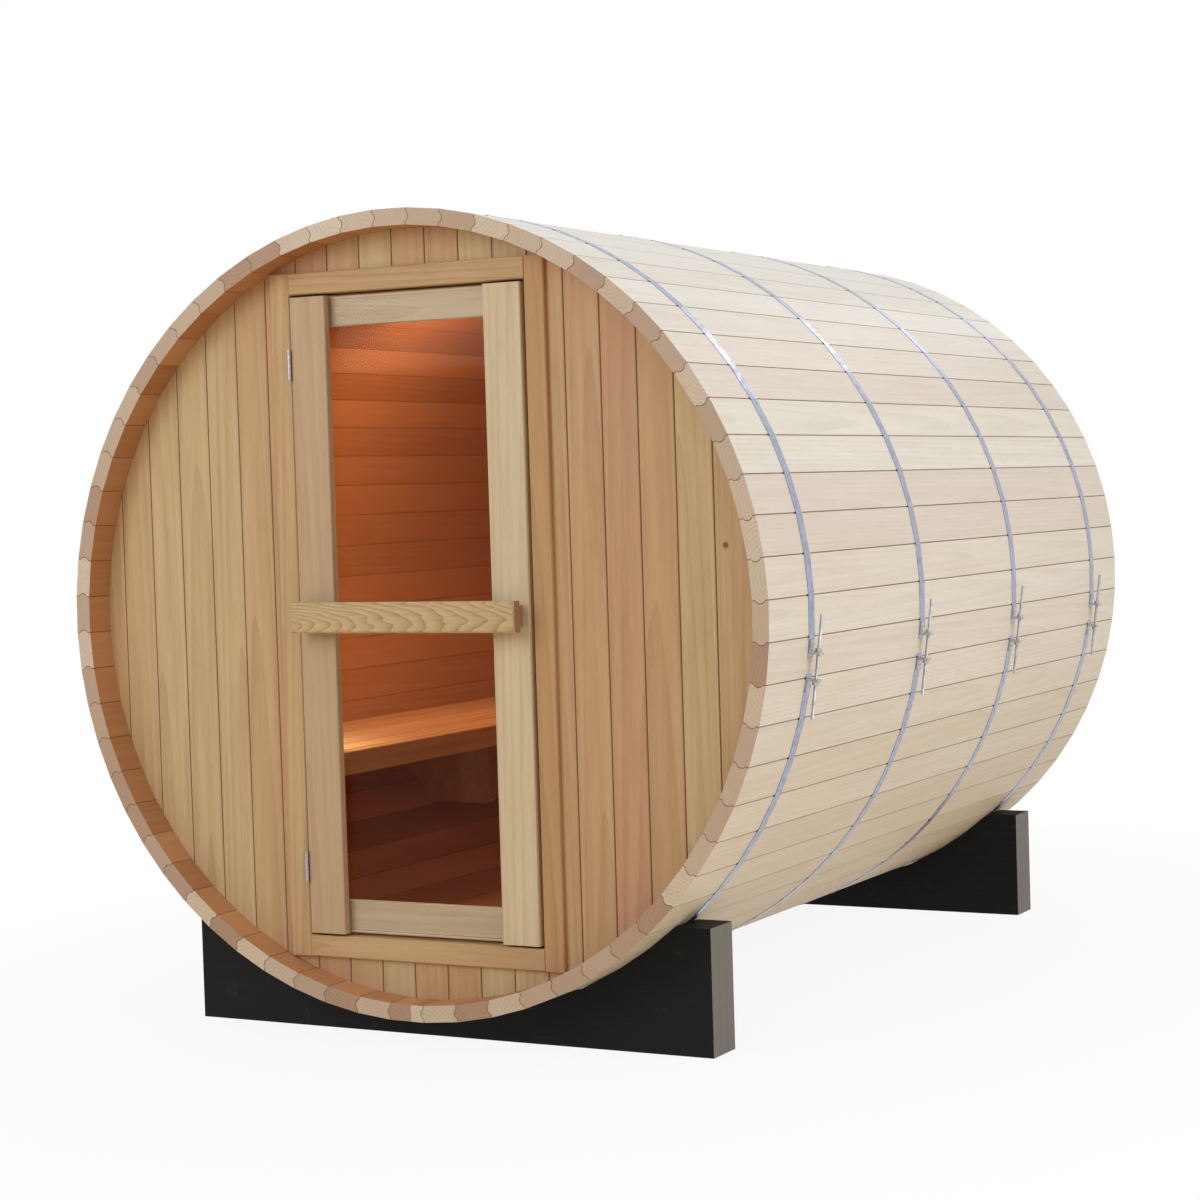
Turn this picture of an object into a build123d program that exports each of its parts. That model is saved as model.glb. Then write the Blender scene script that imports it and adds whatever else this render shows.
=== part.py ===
from build123d import *
import math
import os

# A barrel sauna: a horizontal barrel of staves held by steel bands, on two black cradles, with a
# recessed end wall, a glazed door and a bench along each side. Millimetres, +Z up, origin on the
# ground under the middle of the barrel. X runs to the right as seen from the door, which faces -Y.

# Barrel of staves
barrel_length = 2400.0
barrel_radius = 915.0
stave_count = 64
stave_thickness = 38.0
stave_edge_ease = 1.5
stave_turn = 0.7
bead_width = 23.0
bead_height = 7.0
bead_flats = 4

# End walls of tongued boards, held in a groove cut round the inside of the staves
wall_recess = 78.0
wall_thickness = 38.0
croze_depth = 6.5
wall_board_width = 88.0
wall_first_seam = 405.0
wall_board_ease = 2.5
tongue_thickness = 8.0
tongue_length = 7.0

# Door frame
frame_width = 728.0
frame_proud = 12.0
frame_depth = 62.0
frame_corner_gap = 3.4
head_height = 50.0
sill_height = 50.0
frame_ease = 2.0
stop_width = 14.0
stop_gap = 5.0

# Door
door_width = 612.0
door_proud = 6.0
latch_gap = 8.0
hinge_gap = 5.0
door_end_gap = 6.0
stile_width = 95.0
stile_thickness = 22.0
door_ease = 2.0
glass_thickness = 8.0
glass_edge_inset = 8.0
inner_frame_thickness = 18.0
inner_stile_width = 62.0
top_rail_height = 70.0
bottom_rail_height = 76.0

# Handle bar on two blocks
handle_height = 70.0
handle_thickness = 28.0
handle_end_inset = 9.5
handle_ease = 4.0
finger_gap = 26.0
block_width = 60.0
block_height = 50.0

# Hinges
hinge_height = 70.0
hinge_offset = 582.0
hinge_leaf_thickness = 2.0
hinge_leaf_depth = 22.0
knuckle_radius = 4.5
knuckle_count = 3
knuckle_sides = 16
pin_radius = 2.5
pin_head_height = 2.0
pivot_proud = 5.0

# Steel bands and their tensioners
band_count = 4
band_width = 30.0
band_thickness = 1.0
band_end_inset = 220.0
band_opening = 36.0
tensioner_angle = 97.5
lug_spacing = 60.0
lug_thickness = 5.0
lug_foot_length = 30.0
lug_foot_thickness = 3.0
lug_width = 24.0
lug_top = 9.0
rod_radius = 4.0
rod_length = 230.0
rod_sides = 12
rod_standoff = 17.0
nut_radius = 7.5
nut_height = 7.0

# Cradles of three boards
cradle_height = 286.0
cradle_web = 60.0
cradle_ledge = 84.0
cradle_plies = 3
ply_thickness = 36.0
cradle_end_inset = 200.0

# Benches
bench_drop = 331.0
bench_end_gap = 12.0
aisle_width = 600.0
slat_width = 80.0
slat_gap = 10.0
slat_thickness = 28.0
slat_ease = 3.0
front_board_height = 57.0
front_board_thickness = 22.0
support_count = 3
support_thickness = 38.0
support_front_height = 70.0
support_wall_height = 215.0
support_foot_reach = 170.0

# Gaps between fitted pieces
joint_gap = 0.3
pin_clearance = 0.2

# Worked out from the sizes above
half_pitch = math.radians(180.0 / stave_count)
outer_flat = barrel_radius * math.cos(half_pitch)
inner_flat = outer_flat - stave_thickness
croze_flat = inner_flat + croze_depth
wall_flat = croze_flat - joint_gap
wall_radius = wall_flat / math.cos(half_pitch)
band_inner_flat = outer_flat + joint_gap
band_outer_flat = band_inner_flat + band_thickness
saddle_radius = band_outer_flat / math.cos(half_pitch) + joint_gap
axis_height = cradle_web + saddle_radius

barrel_end = barrel_length / 2
wall_face = -barrel_end + wall_recess
wall_middle = wall_face + wall_thickness / 2
wall_inside = wall_face + wall_thickness

frame_face = wall_face - frame_proud
frame_back = frame_face + frame_depth
frame_side = frame_width / 2
frame_reach = inner_flat - frame_corner_gap
frame_half_height = math.sqrt(frame_reach**2 - frame_side**2)
frame_top = axis_height + frame_half_height
frame_bottom = axis_height - frame_half_height
head_underside = frame_top - head_height
sill_top = frame_bottom + sill_height

door_side = door_width / 2
door_top = head_underside - door_end_gap
door_bottom = sill_top + door_end_gap
door_face = frame_face - door_proud
glass_front = door_face + stile_thickness + joint_gap
inner_frame_front = glass_front + glass_thickness + joint_gap
door_back = inner_frame_front + inner_frame_thickness
jamb_left_edge = -door_side - hinge_gap
jamb_right_edge = door_side + latch_gap

pivot_x = (jamb_left_edge - door_side) / 2
pivot_y = door_face - pivot_proud

bench_top = axis_height - bench_drop
bench_end = -(frame_back + bench_end_gap)
slat_bottom = bench_top - slat_thickness


def on_axis(shape):
    """Lift a shape made round the Y axis to the height of the barrel's axis."""
    return Pos(0, 0, axis_height) * shape


def disc(radius, thickness, y):
    """A flat disc across the barrel, centred on its axis at y."""
    return Pos(0, y, axis_height) * Rot(90, 0, 0) * Cylinder(radius, thickness)


def block(low, high, ease=0.0, along=None):
    """A box between two corners, with the edges that run along one axis eased."""
    size = [high[i] - low[i] for i in range(3)]
    middle = [(high[i] + low[i]) / 2 for i in range(3)]
    body = Pos(*middle) * Box(*size)
    if along is None:
        return body
    return chamfer(body.edges().filter_by(along), ease)


def save(name, *solids):
    """Write one node, whose pieces stay separate solids."""
    body = solids[0] if len(solids) == 1 else Compound(list(solids))
    export_step(body, f"parts/{name}.step")


# Staves
def stave_side(radius):
    """Half the width of a stave at a distance from the axis, less its share of the joint."""
    return radius * math.tan(half_pitch) - joint_gap / 2


def bead_centre():
    """Centre of the bead's arc on the joint with the next stave, for the stave at the top."""
    radius = (bead_width**2 / 4 + bead_height**2) / (2 * bead_height)
    height = (outer_flat + inner_flat) / 2
    return stave_side(height) + bead_height - radius, height, radius


def bead(extra):
    """Points of a bead from its inner to its outer corner, with flats pushed out by an extra width."""
    bead_x, bead_z, radius = bead_centre()
    half = math.asin(bead_width / 2 / radius)
    angles = [half * (2 * step / bead_flats - 1) for step in range(bead_flats + 1)]
    reach = radius + extra
    return [(bead_x + reach * math.cos(angle), bead_z + reach * math.sin(angle)) for angle in angles]


def stave():
    """The stave at the top of the barrel: bead on its right edge, cove on its left."""
    pitch = 2 * half_pitch
    cove = [
        (x * math.cos(pitch) - z * math.sin(pitch), x * math.sin(pitch) + z * math.cos(pitch))
        for x, z in bead(joint_gap)
    ]
    eased = outer_flat - stave_edge_ease
    inner = (stave_side(inner_flat), inner_flat)
    outer = [(stave_side(eased), eased), (stave_side(outer_flat) - stave_edge_ease, outer_flat)]
    right = [inner, *bead(0), *outer]
    left = [(-inner[0], inner[1]), *cove, *[(-x, z) for x, z in outer]]
    section = make_face(Polyline(*right, *reversed(left), close=True))
    body = on_axis(extrude(Plane.XZ * section, amount=barrel_length / 2, both=True))
    for y in (wall_middle, -wall_middle):
        body -= Pos(0, y, axis_height + croze_flat - inner_flat / 2) * Box(
            4 * stave_side(outer_flat), wall_thickness + 2 * joint_gap, inner_flat
        )
    return body


def turned(shape, degrees):
    """Turn a shape round the barrel's axis, clockwise as seen from the door."""
    return on_axis(Rot(0, degrees, 0) * Pos(0, 0, -axis_height) * shape)


sector_names = ["top", "upper_right", "right", "lower_right", "bottom", "lower_left", "left", "upper_left"]


def staves():
    """All staves, sorted into eight sectors of the barrel."""
    sectors = {name: [] for name in sector_names}
    first = stave()
    for index in range(stave_count):
        turn = (index / stave_count + 0.5 / len(sector_names)) % 1.0
        sector = sector_names[int(turn * len(sector_names) + 1e-9)]
        sectors[sector].append(turned(first, stave_turn + index * 360.0 / stave_count))
    for name, pieces in sectors.items():
        save(f"staves_{name}", *pieces)


def polygon_bar(flat, width):
    """A bar with as many sides as the barrel, whose sides lie at a distance flat from its axis."""
    corner = flat / math.cos(half_pitch)
    sides = RegularPolygon(corner, stave_count, rotation=90.0 - math.degrees(half_pitch) - stave_turn)
    return on_axis(extrude(Plane.XZ * sides, amount=width / 2, both=True))


# End walls
def tongued_board(left, right):
    """A full board between two seams: groove on its left, tongue on its right, eased on its outer face."""
    low, high = left + joint_gap / 2, right - joint_gap / 2
    face = wall_thickness / 2
    ease = wall_board_ease
    half_tongue = tongue_thickness / 2
    half_groove = half_tongue + joint_gap
    groove_depth = tongue_length + 2 * joint_gap
    outline = [
        (low + ease, -face),
        (high - ease, -face),
        (high, -face + ease),
        (high, -half_tongue),
        (high + tongue_length, -half_tongue),
        (high + tongue_length, half_tongue),
        (high, half_tongue),
        (high, face),
        (low, face),
        (low, half_groove),
        (low + groove_depth, half_groove),
        (low + groove_depth, -half_groove),
        (low, -half_groove),
        (low, -face + ease),
    ]
    section = make_face(Polyline(*outline, close=True))
    return Pos(0, 0, axis_height) * extrude(section, amount=wall_radius, both=True)


def wall_seams():
    """Seams of a whole wall from left to right, starting and ending on its rim."""
    first = wall_first_seam - wall_board_width * math.floor((wall_first_seam + wall_radius) / wall_board_width)
    seams = [-wall_radius - wall_board_width]
    while first < wall_radius - wall_board_width / 3:
        if first > -wall_radius + wall_board_width / 3:
            seams.append(first)
        first += wall_board_width
    return seams + [wall_radius + wall_board_width]


def wall_boards():
    """The boards of a whole wall at the front, cut to fit the croze of each stave."""
    seams = wall_seams()
    rim = Pos(0, wall_middle, 0) * polygon_bar(wall_flat, wall_thickness)
    return [Pos(0, wall_middle, 0) * tongued_board(a, b) & rim for a, b in zip(seams, seams[1:])]


def front_wall(boards):
    """The front wall's boards, cut beside, over and under the door frame."""
    side = frame_side + joint_gap
    top = frame_top + joint_gap
    bottom = frame_bottom - joint_gap
    reach = 2 * wall_radius
    y0, y1 = wall_face - 1, wall_inside + 1
    regions = {
        "left": block((-reach, y0, -reach), (-side, y1, 2 * reach)),
        "right": block((side, y0, -reach), (reach, y1, 2 * reach)),
        "top": block((-side, y0, top), (side, y1, 2 * reach)),
        "bottom": block((-side, y0, -reach), (side, y1, bottom)),
    }
    for name, region in regions.items():
        pieces = []
        for board in boards:
            cut = board & region
            pieces += cut.solids() if cut else []
        save(f"front_wall_{name}", *pieces)


def back_wall(boards):
    """The back wall is the same wall seen from the other end."""
    save("back_wall", *[mirror(board, about=Plane.XZ) for board in boards])


# Door frame
def door_frame():
    """Jambs from end to end, the head and the sill between them, and the stops behind the door."""
    jamb_low = (frame_face, frame_bottom)
    jamb_high = (frame_back, frame_top)
    inner_left = jamb_left_edge + joint_gap
    inner_right = jamb_right_edge - joint_gap
    save("door_jamb_left", block((-frame_side, *jamb_low), (jamb_left_edge, *jamb_high), frame_ease, Axis.Z))
    save("door_jamb_right", block((jamb_right_edge, *jamb_low), (frame_side, *jamb_high), frame_ease, Axis.Z))
    head_low = (inner_left, frame_face, head_underside)
    save("door_head", block(head_low, (inner_right, frame_back, frame_top), frame_ease, Axis.X))
    sill_low = (inner_left, frame_face, frame_bottom)
    save("door_sill", block(sill_low, (inner_right, frame_back, sill_top), frame_ease, Axis.X))

    front = door_back + stop_gap
    upright_low, upright_high = sill_top + joint_gap, head_underside - joint_gap
    left_stop = (inner_left, inner_left + stop_width)
    right_stop = (inner_right - stop_width, inner_right)
    level_low, level_high = left_stop[1] + joint_gap, right_stop[0] - joint_gap
    stops = [
        block((x0, front, upright_low), (x1, frame_back, upright_high), frame_ease, Axis.Z)
        for x0, x1 in (left_stop, right_stop)
    ]
    stops += [
        block((level_low, front, z0), (level_high, frame_back, z0 + stop_width), frame_ease, Axis.X)
        for z0 in (upright_low, upright_high - stop_width)
    ]
    save("door_stops", *stops)


# Door
def door_leaf():
    """Two outer stiles on a full pane of glass, with an inner frame behind it."""
    for side, name in ((-1, "left"), (1, "right")):
        edges = sorted((side * door_side, side * (door_side - stile_width)))
        low = (edges[0], door_face, door_bottom)
        high = (edges[1], door_face + stile_thickness, door_top)
        save(f"door_stile_{name}", block(low, high, door_ease, Axis.Z))

    pane_side = door_side - glass_edge_inset
    pane_low = (-pane_side, glass_front, door_bottom + glass_edge_inset)
    pane_high = (pane_side, glass_front + glass_thickness, door_top - glass_edge_inset)
    save("door_glass", block(pane_low, pane_high))

    inner_side = pane_side - inner_stile_width
    inner_stiles = []
    for side in (-1, 1):
        edges = sorted((side * pane_side, side * inner_side))
        low = (edges[0], inner_frame_front, door_bottom)
        inner_stiles.append(block(low, (edges[1], door_back, door_top), door_ease, Axis.Z))
    save("door_inner_stiles", *inner_stiles)

    rail_side = inner_side - joint_gap
    for name, z0, z1 in (
        ("top", door_top - top_rail_height, door_top),
        ("bottom", door_bottom, door_bottom + bottom_rail_height),
    ):
        low, high = (-rail_side, inner_frame_front, z0), (rail_side, door_back, z1)
        save(f"door_rail_{name}", block(low, high, door_ease, Axis.X))


def door_handle():
    """A level bar across the door, on a block over each stile."""
    bar_side = door_side - handle_end_inset
    bar_back = door_face - joint_gap - finger_gap
    low = (-bar_side, bar_back - handle_thickness, axis_height - handle_height / 2)
    high = (bar_side, bar_back, axis_height + handle_height / 2)
    bar = block(low, high)
    save("door_handle", chamfer(bar.faces().filter_by(Axis.Y).sort_by(Axis.Y)[0].edges(), handle_ease))
    blocks = []
    for side in (-1, 1):
        middle = side * (door_side - stile_width / 2)
        low = (middle - block_width / 2, bar_back + joint_gap, axis_height - block_height / 2)
        high = (middle + block_width / 2, door_face - joint_gap, axis_height + block_height / 2)
        blocks.append(block(low, high, door_ease, Axis.Y))
    save("door_handle_blocks", *blocks)


# Hinges
def upright(radius, low, high):
    """A round bar on the hinge's pivot line."""
    return Pos(pivot_x, pivot_y, (low + high) / 2) * Cylinder(radius, high - low)


def knuckle(low, high):
    """A knuckle rolled round the pivot line, as a bar with many sides."""
    rolled = extrude(RegularPolygon(knuckle_radius, knuckle_sides), amount=(high - low) / 2, both=True)
    return Pos(pivot_x, pivot_y, (low + high) / 2) * rolled


def hinge_leaf(middle, plate_x, own):
    """A leaf with its knuckles, where own says which of the knuckles are this leaf's."""
    low, high = middle - hinge_height / 2, middle + hinge_height / 2
    plate_front = pivot_y + knuckle_radius + joint_gap
    plate_back = plate_front + hinge_leaf_depth
    plate_high = plate_x + hinge_leaf_thickness
    body = block((plate_x, plate_front, low), (plate_high, plate_back, high))
    step = hinge_height / knuckle_count
    for index in own:
        z0 = low + index * step + joint_gap / 2
        z1 = low + (index + 1) * step - joint_gap / 2
        body += knuckle(z0, z1)
        body += block((plate_x, pivot_y, z0), (plate_high, plate_front, z1))
    return body, low, high


def hinge(name, middle):
    """A butt hinge: the frame's leaf carries the pin, and the door's leaf turns on it."""
    frame_plate = jamb_left_edge + joint_gap
    door_plate = -door_side - joint_gap - hinge_leaf_thickness
    every = range(knuckle_count)
    frame_leaf, low, high = hinge_leaf(middle, frame_plate, every[::2])
    door_leaf, _, _ = hinge_leaf(middle, door_plate, every[1::2])
    frame_leaf += upright(pin_radius, low - pin_head_height, high + pin_head_height)
    bore = upright(pin_radius + pin_clearance, low - 1, high + 1)
    save(f"hinge_{name}_frame_leaf", frame_leaf)
    save(f"hinge_{name}_door_leaf", door_leaf - bore)


# Bands
def band(y):
    """A flat steel band that follows the staves and is open at the tensioner."""
    ring = polygon_bar(band_outer_flat, band_width) - polygon_bar(band_inner_flat, band_width)
    gap = Box(band_opening, 2 * band_width, 4 * rod_standoff)
    ring -= turned(Pos(0, 0, axis_height + barrel_radius) * gap, tensioner_angle)
    return Pos(0, y, 0) * ring


def bar_across(radius, length, sides):
    """A bar with many sides that lies along X."""
    return Rot(0, 90, 0) * extrude(RegularPolygon(radius, sides), amount=length / 2, both=True)


def tensioner(y):
    """Two angle lugs on the ends of a band, pulled together by a rod with a nut behind each."""
    rod_height = axis_height + band_outer_flat + rod_standoff
    rod = Pos(0, 0, rod_height) * bar_across(rod_radius, rod_length, rod_sides)
    lugs = []
    for side in (-1, 1):
        ear_x = side * lug_spacing / 2
        nut_x = ear_x + side * (lug_thickness / 2 + joint_gap + nut_height / 2)
        rod += Pos(nut_x, 0, rod_height) * bar_across(nut_radius, nut_height, 6)
        ear_height = 2 * rod_standoff + lug_top
        ear_middle = rod_height + lug_top - ear_height / 2
        ear = Pos(ear_x, 0, ear_middle) * Box(lug_thickness, lug_width, ear_height)
        foot_x = ear_x + side * (lug_foot_length - lug_thickness) / 2
        foot_top = axis_height + band_outer_flat + lug_foot_thickness
        foot = Pos(foot_x, 0, foot_top - rod_standoff / 2) * Box(lug_foot_length, lug_width, rod_standoff)
        lugs.append(ear + foot)
    bore = Pos(0, 0, rod_height) * bar_across(rod_radius + joint_gap, rod_length, rod_sides)
    seat = polygon_bar(band_outer_flat + joint_gap, 2 * lug_width)
    pieces = [turned(rod, tensioner_angle)]
    pieces += [turned(lug - bore, tensioner_angle) - seat for lug in lugs]
    return [Pos(0, y, 0) * piece for piece in pieces]


def bands():
    """Bands at even steps along the barrel, numbered from the door end."""
    first = -barrel_end + band_end_inset
    step = -2 * first / (band_count - 1)
    ring = band(0)
    clamp = tensioner(0)
    for index in range(band_count):
        move = Pos(0, first + index * step, 0)
        save(f"band_{index + 1}", move * ring)
        save(f"tensioner_{index + 1}", *[move * piece for piece in clamp])


# Cradles
def cradle(name, y):
    """Boards on edge, side by side, with a saddle for the barrel."""
    mouth = math.sqrt(saddle_radius**2 - (axis_height - cradle_height) ** 2)
    side = mouth + cradle_ledge
    step = ply_thickness + joint_gap
    boards = []
    for index in range(cradle_plies):
        middle = y + (index - (cradle_plies - 1) / 2) * step
        low = (-side, middle - ply_thickness / 2, 0)
        high = (side, middle + ply_thickness / 2, cradle_height)
        boards.append(block(low, high) - disc(saddle_radius, 2 * ply_thickness, middle))
    save(f"cradle_{name}", *boards)


# Benches
def bench_support(side, y):
    """A bracket under the slats, cut to the round of the wall that carries it."""
    front = aisle_width / 2 + front_board_thickness + joint_gap
    top = slat_bottom - joint_gap
    outline = [
        (front, top),
        (front, top - support_front_height),
        (front + support_foot_reach, top - support_wall_height),
        (inner_flat, top - support_wall_height),
        (inner_flat, top),
    ]
    section = make_face(Polyline(*[(side * x, z) for x, z in outline], close=True))
    plate = Pos(0, y, 0) * extrude(Plane.XZ * section, amount=support_thickness / 2, both=True)
    return plate & disc(inner_flat - joint_gap, 2 * support_thickness, y)


def bench(name, side):
    """Slats along the barrel behind a front board, on brackets from the wall."""
    end = bench_end
    front = aisle_width / 2
    pieces = [((front, front + front_board_thickness), bench_top - front_board_height)]
    edge = front + front_board_thickness + slat_gap
    wall = math.sqrt(inner_flat**2 - (axis_height - slat_bottom) ** 2)
    while edge + slat_width < wall:
        pieces.append(((edge, edge + slat_width), slat_bottom))
        edge += slat_width + slat_gap
    boards = []
    for across, bottom in pieces:
        x0, x1 = sorted(side * x for x in across)
        boards.append(block((x0, -end, bottom), (x1, end, bench_top), slat_ease, Axis.Y))
    save(f"bench_{name}", *boards)

    first = -end + support_thickness
    step = -2 * first / (support_count - 1)
    supports = [bench_support(side, first + index * step) for index in range(support_count)]
    save(f"bench_{name}_supports", *supports)


os.makedirs("parts", exist_ok=True)
staves()
all_boards = wall_boards()
front_wall(all_boards)
back_wall(all_boards)
door_frame()
door_leaf()
door_handle()
hinge("upper", axis_height + hinge_offset)
hinge("lower", axis_height - hinge_offset)
bands()
cradle("front", -barrel_end + cradle_end_inset)
cradle("rear", barrel_end - cradle_end_inset)
bench("left", -1)
bench("right", 1)
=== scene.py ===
"""Finishes the barrel sauna: woods, steel, glass, stain, small fittings and the stage."""
import math
import bpy
from mathutils import Matrix, Vector


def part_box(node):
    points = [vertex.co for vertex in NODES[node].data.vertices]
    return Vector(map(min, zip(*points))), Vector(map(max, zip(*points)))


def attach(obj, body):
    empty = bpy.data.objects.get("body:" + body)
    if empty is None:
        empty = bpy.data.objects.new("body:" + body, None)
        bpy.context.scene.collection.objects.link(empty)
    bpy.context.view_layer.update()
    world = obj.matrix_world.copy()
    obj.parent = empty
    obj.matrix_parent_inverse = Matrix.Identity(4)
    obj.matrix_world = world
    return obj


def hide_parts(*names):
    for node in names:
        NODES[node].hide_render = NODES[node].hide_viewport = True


bl_info = {
    "name": "Barrel sauna finish",
    "version": (1, 0, 0),
    "blender": (4, 5, 0),
    "location": "View3D > Sidebar > Sauna",
    "description": "Finishes a barrel sauna: woods, steel bands, tensioners, glass and cradles",
    "category": "Object",
}

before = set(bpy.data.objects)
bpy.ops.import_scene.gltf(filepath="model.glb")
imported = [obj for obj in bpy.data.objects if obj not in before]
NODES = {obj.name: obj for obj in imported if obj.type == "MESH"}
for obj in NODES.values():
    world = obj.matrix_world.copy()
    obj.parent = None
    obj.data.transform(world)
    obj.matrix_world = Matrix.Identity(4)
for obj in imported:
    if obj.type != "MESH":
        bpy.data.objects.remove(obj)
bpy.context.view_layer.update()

# The barrel: its staves turn clockwise from the top, seen from the door; lengths are in metres
SECTORS = [
    "top", "upper_right", "right", "lower_right", "bottom", "lower_left", "left", "upper_left",
]
AXIS_HEIGHT = (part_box("staves_top")[1].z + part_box("staves_bottom")[0].z) / 2
BARREL_RADIUS = 0.915
STAVE_COUNT = 64
STAVE_PITCH = 2 * math.pi / STAVE_COUNT
STAVE_TURN = math.radians(0.7)
STAVE_THICKNESS = 0.038
BEAD_WIDTH = 0.023
BEAD_HEIGHT = 0.007
BEAD_RADIUS = (BEAD_WIDTH**2 / 4 + BEAD_HEIGHT**2) / (2 * BEAD_HEIGHT)
STAVE_MIDDLE = BARREL_RADIUS - STAVE_THICKNESS / 2
# Deeper than this below its middle, a stave has the colours of the lining
LINING_DEPTH = 0.004

# The boards of the end walls and the benches, and a knot to the right of the door
WALL_SEAM = 0.405
WALL_BOARD = 0.088
SLAT_START = 0.332
SLAT_PITCH = 0.09
# A node that is one board counts as this wide, so that no joint falls on it
ONE_BOARD = 10.0
KNOT_ASIDE = 0.782
KNOT_ABOVE_AXIS = 0.148
KNOT_RADIUS = 0.009
KNOT_SHADE = 0.85
JOINT_SHADE = 0.8

# Widths of the fibres and streaks, and how slowly they change along a board
FIBRE_MM = 2.6
STREAK_MM = 22.0
GRAIN_STRETCH = 0.05
# The grain of one board lies this far from that of the next in the noise
BOARD_STEP = 3.1
# Keeps the number of a board off the whole numbers
SEED_OFFSET = 0.37
# The pith of a board lies up to half of PITH_SPREAD to either side, and PITH_NEAREST behind its
# face with up to PITH_RANGE more
PITH_SPREAD = 0.16
PITH_NEAREST = 0.035
PITH_RANGE = 0.10
RING_WANDER = 9.0
RING_SHARPNESS = 2.2
# A wave texture whose scale is 1 draws its rings this far apart
WAVE_SPACING = math.pi / 10
# How much stronger rings show on a cut end
END_CONTRAST = 0.3
# A surface is a cut end where its normal lies this much along the board
CUT_SLOPE = 0.8
# How much of the paler colour is painted on the sawn ends of the cradles: painted light, for the
# light that falls on the ends
LIT_END_SHARE = 0.8

# The bands and their tensioners
BANDS = [1, 2, 3, 4]
BAND_WIDTH = 0.030
BAND_SURFACE = BARREL_RADIUS * math.cos(STAVE_PITCH / 2) + 0.0013
TENSIONER_TURN = math.radians(97.5)
ROD_STANDOFF = 0.017
ROD_SIDES = 10
NUT_SIDES = 6
WASHER_SIDES = 16
NAIL_SIDES = 8
LUG_TOP = 0.009
LUG_SINK = 0.002
RIVET_ALONG_FOOT = 0.62
RIVETS_ACROSS_FOOT = (-0.25, 0.25)
RIVET_SINK = 0.0005
RIVET_FLATNESS = 0.5
LUG_EDGE = 0.0007
NUT_EDGE = 0.0005
WASHER_EDGE = 0.0003
NAIL_EDGE = 0.0005
TOUCH = 1e-5

# The stage: the floor keeps the shadow inside an oval, and fades to plain white further off
FLOOR_SIZE = 60.0
FLOOR_DROP = 0.0005
FLOOR_OVAL = (1.0, 0.7, 0.0)
FLOOR_FADE_START = 0.9
FLOOR_FADE_END = 2.2
FLOOR_SHARE_NEAR = 0.91
PAPER_TINT = "#ecd0a8"
CABIN_TINT = "#ffc696"
BENCH_TINT = "#fff0d8"


def linear(hex_colour):
    """Turn an sRGB hex colour into the linear colour that shaders use."""
    channels = [int(hex_colour[i : i + 2], 16) / 255 for i in (1, 3, 5)]
    return (
        *[c / 12.92 if c <= 0.04045 else ((c + 0.055) / 1.055) ** 2.4 for c in channels],
        1.0,
    )


def colour(name, description, hex_colour):
    """A colour property whose default is an sRGB hex value."""
    return bpy.props.FloatVectorProperty(
        name=name, description=description, subtype="COLOR", size=4, min=0.0, max=1.0,
        default=linear(hex_colour),
    )


def length(name, description, metres):
    """A length property in metres."""
    return bpy.props.FloatProperty(
        name=name, description=description, default=metres, min=0.0, unit="LENGTH"
    )


def power(name, description, watts):
    """The power of a lamp."""
    return bpy.props.FloatProperty(
        name=name, description=description, default=watts, min=0.0, unit="POWER"
    )


class SaunaWoodColours(bpy.types.PropertyGroup):
    """Colours of the staves, walls, door and benches"""

    stave_pale: colour("Stave, pale", "Sapwood tone of the outer staves", "#f3f1e9")
    stave_warm: colour("Stave, warm", "Heartwood tone of the outer staves", "#ebe7d9")
    stave_pink: colour("Stave, pink", "Rosy tone of a few outer staves", "#e6dcd1")
    stave_grain: colour("Stave grain", "Late wood lines on the staves", "#c3a684")
    lining_pale: colour("Lining, pale", "Pale tone inside the barrel", "#ca8f5e")
    lining_dark: colour("Lining, dark", "Dark tone inside the barrel", "#ab6f42")
    end_pale: colour("End grain, pale", "Pale tone of the stave ends", "#e3d8c6")
    end_dark: colour("End grain, dark", "Rosy grey tone of the stave ends", "#ac8a76")
    wall_pale: colour("Wall, pale", "Pale tone of the wall boards", "#d6c196")
    wall_warm: colour("Wall, warm", "Warm tone of the wall boards", "#cfab80")
    wall_pink: colour("Wall, pink", "Rosy tone of a few wall boards", "#cfa583")
    wall_grain: colour("Wall grain", "Late wood lines on the wall boards", "#9a6c40")
    frame_pale: colour("Frame, pale", "Pale tone of the door frame", "#d5b88c")
    frame_warm: colour("Frame, warm", "Warm tone of the door frame", "#c69f70")
    stile_pale: colour("Stile, pale", "Pale tone of the right door stile", "#dfd0ae")
    stile_warm: colour("Stile, warm", "Greyish tone of the left door stile", "#cab08e")
    handle_pale: colour("Handle, pale", "Pale tone of the handle", "#d3ba90")
    handle_grain: colour("Handle grain", "Late wood lines on the handle", "#94713c")
    bench_pale: colour("Bench, pale", "Pale tone of the bench slats", "#e0b98c")
    bench_warm: colour("Bench, warm", "Warm tone of the bench slats", "#cb9c6c")
    # Painted light: a tone paler than the wood, for the rails and inner stiles behind the glass,
    # which the pane keeps from the lamps
    rail_painted_light: colour("Rail", "Greyish tone of the rails behind the glass", "#f0e0c6")
    seam: colour("Seam", "Shadowed joint between boards", "#7a5636")
    knot: colour("Knot", "Dark heart of a knot", "#5e3520")


class SaunaFinishColours(bpy.types.PropertyGroup):
    """Colours of the steel, the glass and the stain"""

    # Painted reflection: the bluish cast of this grey stands in for the sky mirrored in the bands;
    # the grey itself is the zinc
    band: colour("Band", "Zinc on the steel bands", "#a6adc4")
    tensioner: colour("Tensioner", "Zinc on the tensioners", "#c6c6c8")
    hinge: colour("Hinge", "Satin steel of the hinges", "#b5b2b0")
    nail: colour("Nail", "Black iron of the nails beside the bands", "#3a2f26")
    glass: colour("Glass", "Faint grey tint of the pane", "#f6f4ef")
    stain: colour("Stain", "Black stain of the cradles", "#0f0f10")
    # Paler stain: scuffs of wear, and painted light on the cradles' sawn ends
    stain_worn_and_lit: colour("Worn stain", "Scuffs and sawn ends of the cradles", "#8c8a88")


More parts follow.
